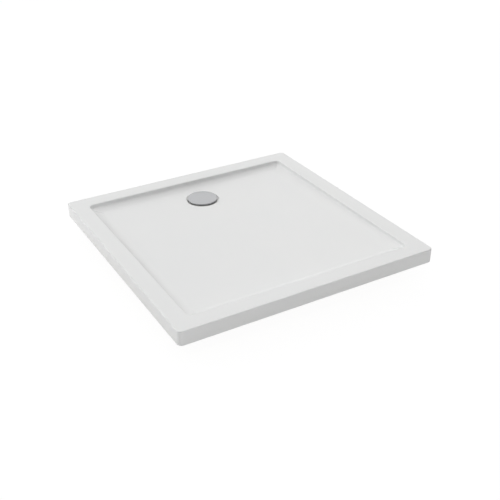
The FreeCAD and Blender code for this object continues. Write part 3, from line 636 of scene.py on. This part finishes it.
def studTree():
    # spigot, hexagon and thread are rows of one skin; above the hexagon the radius follows the helix
    tree, given = newTree("threadedStud", stud)
    apothem = ("MULTIPLY", given["across flats"], 0.5)
    hexagonTop = ("ADD", given["pad top"], given["hexagon height"])
    lowerRows = 8  # below the thread
    climbRows = ("ROUND", ("DIVIDE", ("SUBTRACT", given["top"], hexagonTop), given["row step"]))
    rows = addNode(tree, "ShaderNodeMath", {0: climbRows, 1: lowerRows + 2}, operation="ADD")
    index = addNode(tree, "GeometryNodeInputIndex")
    row = addNode(tree, "ShaderNodeMath", {0: index, 1: rows}, operation="MODULO")
    turn = addNode(tree, "ShaderNodeMath", {0: ("FLOOR", ("DIVIDE", index, rows)),
                                            1: ("DIVIDE", math.tau, given["columns"])},
                   operation="MULTIPLY")
    hexagon = hexagonRadius(tree, turn, given["across flats"])
    chamfer = ("MULTIPLY", ("SUBTRACT", hexagon, apothem), cornerSlope)
    steps = ("MINIMUM", ("SUBTRACT", row, lowerRows), climbRows)
    height = addNode(tree, "ShaderNodeMath", {0: steps, 1: given["row step"], 2: hexagonTop},
                     operation="MULTIPLY_ADD")
    phase = ("SUBTRACT", ("DIVIDE", height, given["pitch"]), ("DIVIDE", turn, math.tau))
    flank = ("ABSOLUTE", ("MULTIPLY_ADD", ("FRACT", ("ADD", phase, 1)), 2, -1))
    steep = given["flank steepness"]
    flankCut = ("MULTIPLY_ADD", flank, steep, ("MULTIPLY_ADD", steep, -0.5, 0.5))
    cutDepth = ("MULTIPLY", ("MINIMUM", ("MAXIMUM", flankCut, 0), 1), given["thread depth"])
    thread = ("SUBTRACT", given["thread radius"], cutDepth)
    entry = ("ADD", ("SUBTRACT", given["top"], height),
             ("SUBTRACT", given["thread radius"], given["chamfer"]))
    notLast = ("LESS_THAN", row, ("SUBTRACT", rows, 1))  # the last row closes the top
    lower = [
        (0.0, given["foot"]), (given["spigot radius"], given["foot"]),
        (given["spigot radius"], given["pad top"]), (apothem, given["pad top"]),
        (hexagon, ("ADD", given["pad top"], chamfer)), (hexagon, ("SUBTRACT", hexagonTop, chamfer)),
        (apothem, hexagonTop), (("SUBTRACT", given["thread radius"], given["thread depth"]), hexagonTop),
        (("MULTIPLY", ("MINIMUM", thread, entry), notLast), height),
    ]
    assert len(lower) == lowerRows + 1
    radii = addNode(tree, "GeometryNodeIndexSwitch", data_type="FLOAT")
    heights = addNode(tree, "GeometryNodeIndexSwitch", data_type="FLOAT")
    for switch, values in ((radii, [pair[0] for pair in lower]), (heights, [pair[1] for pair in lower])):
        while len(switch.index_switch_items) < len(lower):
            switch.index_switch_items.new()
        feed(tree, switch, {0: ("MINIMUM", row, lowerRows), **dict(enumerate(values, 1))})
    grid = addNode(tree, "GeometryNodeMeshGrid", {"Vertices X": ("ADD", given["columns"], 1),
                                                  "Vertices Y": rows})
    where = addNode(tree, "ShaderNodeCombineXYZ", {"X": ("MULTIPLY", ("COSINE", turn), radii),
                                                   "Y": ("MULTIPLY", ("SINE", turn), radii),
                                                   "Z": heights})
    skin = addNode(tree, "GeometryNodeSetPosition", {"Geometry": grid, "Position": where})
    joined = addNode(tree, "GeometryNodeMergeByDistance", {"Geometry": skin, "Distance": weldDistance})
    return finishTree(tree, given, joined)


threadedStud = studTree()
for foot, place in zip(feet, footPlaces):
    makeFromTree("stud_" + foot, threadedStud, stud, [place], "stud_" + foot, "zinc_steel",
                 ["foot_stud_" + foot])


lockNut = {
    "foot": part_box("lock_nut_middle")[0].z,
    "top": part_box("lock_nut_middle")[1].z,
    "across flats": 17 * mm,
    "bore": 5.05 * mm,
    "bore chamfer": 0.6 * mm,
    "columns": 36,
}


def lockNutTree():
    # a ring whose outside is a hexagon, with its corners turned off at both faces
    tree, given = newTree("lockNut", lockNut)
    index = addNode(tree, "GeometryNodeInputIndex")
    cornerCount = 8
    turn = addNode(tree, "ShaderNodeMath", {0: ("FLOOR", ("DIVIDE", index, cornerCount)),
                                            1: ("DIVIDE", math.tau, given["columns"])},
                   operation="MULTIPLY")
    hexagon = hexagonRadius(tree, turn, given["across flats"])
    apothem = ("MULTIPLY", given["across flats"], 0.5)
    chamfer = ("MULTIPLY", ("SUBTRACT", hexagon, apothem), cornerSlope)
    bore, rim = given["bore"], given["bore chamfer"]
    foot, top = given["foot"], given["top"]
    profile = [
        (("ADD", bore, rim), foot, 0.0), (apothem, foot, 0.0), (hexagon, ("ADD", foot, chamfer), 0.0),
        (hexagon, ("SUBTRACT", top, chamfer), 0.0), (apothem, top, 0.0), (("ADD", bore, rim), top, 0.0),
        (bore, ("SUBTRACT", top, rim), 0.0), (bore, ("ADD", foot, rim), 0.0),
    ]
    assert len(profile) == cornerCount
    return finishTree(tree, given, turned(tree, given["columns"], profile, closed=True),
                      sharpDegrees=25)


makeFromTree("lockNuts", lockNutTree(), lockNut, footPlaces, "tray", "zinc_steel",
             ["lock_nut_" + foot for foot in feet])


socketPlate = 4 * mm  # how thick a foot socket is between its screws' heads and the board
panHead = 2.6 * mm  # how tall the head of a flange screw is

socketScrew = {
    "head face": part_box("socket_screws")[0].z,
    "head seat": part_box("foot_socket_middle")[1].z - socketPlate,
    "point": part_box("socket_screws")[1].z,
    "head radius": 3.5 * mm,
    "head edge": 1.1 * mm,
    "shank radius": 2 * mm,
    "recess width": 1 * mm,
    "recess length": 4.2 * mm,
    "recess depth": 1.4 * mm,
    "columns": 24,
}
flangeScrew = {
    **socketScrew,
    "head face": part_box("flange_screws")[1].z,
    "head seat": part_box("flange_screws")[1].z - panHead,
    "point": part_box("flange_screws")[0].z,
}
screwCircles = {"socket": 24 * mm, "flange": 38.8 * mm}  # from the foot's or the waste's axis to a screw


def screwTree():
    # a pan head with a cross recess on a plain shank; it points away from its head, up or down
    tree, given = newTree("crossScrew", socketScrew)
    face, seat, point = given["head face"], given["head seat"], given["point"]
    way = addNode(tree, "ShaderNodeMath", {0: ("SUBTRACT", point, face)}, operation="SIGN")
    tip = ("MULTIPLY_ADD", ("MULTIPLY", given["shank radius"], way), -1, point)
    solid = turned(tree, given["columns"], [
        (0.0, face, 0.0), (given["head radius"], face, given["head edge"]),
        (given["head radius"], seat, 0.0), (given["shank radius"], seat, 0.0),
        (given["shank radius"], tip, 0.0), (0.0, point, 0.0)])
    cross = addNode(tree, "GeometryNodeMeshBoolean", operation="UNION")
    for long, short in (("X", "Y"), ("Y", "X")):
        size = addNode(tree, "ShaderNodeCombineXYZ", {
            long: given["recess length"], short: given["recess width"],
            "Z": ("MULTIPLY", given["recess depth"], 2)})
        tree.links.new(addNode(tree, "GeometryNodeMeshCube", {"Size": size}).outputs[0],
                       cross.inputs["Mesh 2"])
    sunk = addNode(tree, "GeometryNodeTransform", {
        "Geometry": cross, "Translation": addNode(tree, "ShaderNodeCombineXYZ", {"Z": face})})
    upright = addNode(tree, "GeometryNodeFlipFaces", {"Mesh": solid, "Selection": ("LESS_THAN", way, 0)})
    cut = addNode(tree, "GeometryNodeMeshBoolean", {"Mesh 1": upright}, operation="DIFFERENCE")
    tree.links.new(sunk.outputs[0], cut.inputs["Mesh 2"])
    return finishTree(tree, given, cut.outputs[0])


def roundScrews(centres, circle):
    # four places on the diagonals of each centre
    reach = circle * math.sqrt(0.5)
    return [(centre.x + x * reach, centre.y + y * reach, 0)
            for centre in centres for x in (-1, 1) for y in (-1, 1)]


crossScrew = screwTree()
makeFromTree("socketScrews", crossScrew, socketScrew, roundScrews(footPlaces, screwCircles["socket"]),
             "tray", "zinc_steel", ["socket_screws"])
makeFromTree("flangeScrews", crossScrew, flangeScrew, roundScrews([drain], screwCircles["flange"]),
             "tray", "stainless", ["flange_screws"])


studio = {
    "floor reach": 20,
    "floor colour": "#E0E0E0",  # the paper that lights the object, with its glow
    "floor glow": 0.22,
    "floor seen": 0.96,  # the paper that the camera sees: this glow, and a grey that takes the shadows
    "shadow grey": "#454545",
    "room": 0.72,  # how bright the mirrored room is at most
    "room low": 0.25,  # a share of that, up to the first of these heights
    "low band": (0.05, 0.4),
    "room near": 0.2,  # a share of that, up to the first of these places from front to back
    "near band": (-0.3, 0.3),
    "lamp aim": (0, 0, 0.1),
    "lamp distance": 6,
    "lamp size": 3.2,
    "lamps": {  # azimuth and elevation in degrees, and watts
        "lowRightLight": (45, 20, 119),
        "lowLeftLight": (135, 20, 131),
        "backRightLight": (45, 50, 69),
        "backLeftLight": (135, 50, 52),
        "nearLeftLight": (225, 50, 76),
        "nearLight": (270, 50, 82),
        "topLight": (0, 90, 46),
    },
}


def softLight(name, azimuth, elevation, watts):
    lamp = bpy.data.lights.new(name, "AREA")
    lamp.shape = "SQUARE"
    lamp.size = studio["lamp size"]
    lamp.energy = watts
    flat = math.cos(math.radians(elevation))
    away = Vector((flat * math.cos(math.radians(azimuth)), flat * math.sin(math.radians(azimuth)),
                   math.sin(math.radians(elevation))))
    holder = bpy.data.objects.new(name, lamp)
    scene.collection.objects.link(holder)
    holder.location = Vector(studio["lamp aim"]) + away * studio["lamp distance"]
    holder.rotation_euler = aimed(holder.location, studio["lamp aim"])
    holder.visible_glossy = False  # the gloss mirrors the room alone


for lampName, (azimuth, elevation, watts) in studio["lamps"].items():
    softLight(lampName, azimuth, elevation, watts)


def studioWorld():
    # a white backdrop, and a room for gloss and chrome to mirror, dim low down and on the near side
    world = bpy.data.worlds.new("studio")
    world.use_nodes = True
    tree = world.node_tree
    tree.nodes.clear()
    ray = addNode(tree, "ShaderNodeLightPath")
    way = addNode(tree, "ShaderNodeSeparateXYZ",
                  {0: addNode(tree, "ShaderNodeTexCoord").outputs["Generated"]})
    lowBand, nearBand = studio["low band"], studio["near band"]
    high = addNode(tree, "ShaderNodeMapRange", {
        0: way.outputs["Z"], 1: lowBand[0], 2: lowBand[1], 3: studio["room low"], 4: 1.0})
    beyond = addNode(tree, "ShaderNodeMapRange", {
        0: way.outputs["Y"], 1: nearBand[0], 2: nearBand[1], 3: studio["room near"], 4: 1.0})
    mirrored = ("MULTIPLY", ray.outputs["Is Glossy Ray"], ("MULTIPLY", high, beyond))
    backdrop = addNode(tree, "ShaderNodeBackground", {"Color": (1, 1, 1, 1), "Strength": 1.0})
    room = addNode(tree, "ShaderNodeBackground", {
        "Color": (1, 1, 1, 1), "Strength": ("MULTIPLY", mirrored, studio["room"])})
    mixed = addNode(tree, "ShaderNodeMixShader", {0: ray.outputs["Is Camera Ray"], 1: room, 2: backdrop})
    addNode(tree, "ShaderNodeOutputWorld", {"Surface": mixed})
    return world


def whitePaper():
    # Seamless white paper: it shows nearly white, and throws only a soft light up on the object
    material, tree = newMaterial("whitePaper")[:2]
    lit = addNode(tree, "ShaderNodeBsdfPrincipled", {
        "Base Color": linear(studio["floor colour"]), "Roughness": 0.9,
        "Emission Color": (1, 1, 1, 1), "Emission Strength": studio["floor glow"]})
    seen = addNode(tree, "ShaderNodeEmission", {"Color": (1, 1, 1, 1), "Strength": studio["floor seen"]})
    shaded = addNode(tree, "ShaderNodeBsdfDiffuse", {"Color": linear(studio["shadow grey"])})
    shown = addNode(tree, "ShaderNodeAddShader", {0: seen, 1: shaded})
    ray = addNode(tree, "ShaderNodeLightPath").outputs["Is Camera Ray"]
    addNode(tree, "ShaderNodeOutputMaterial", {
        "Surface": addNode(tree, "ShaderNodeMixShader", {0: ray, 1: lit, 2: shown})})
    return material


scene.world = studioWorld()
scene.view_settings.view_transform = "Standard"
reach = studio["floor reach"]
floorMesh = bpy.data.meshes.new("studioFloor")
floorMesh.from_pydata([(-reach, -reach, 0), (reach, -reach, 0), (reach, reach, 0), (-reach, reach, 0)], [],
                      [(0, 1, 2, 3)])
floorMesh.materials.append(whitePaper())
studioFloor = bpy.data.objects.new("studioFloor", floorMesh)
scene.collection.objects.link(studioFloor)
print("studio ready")
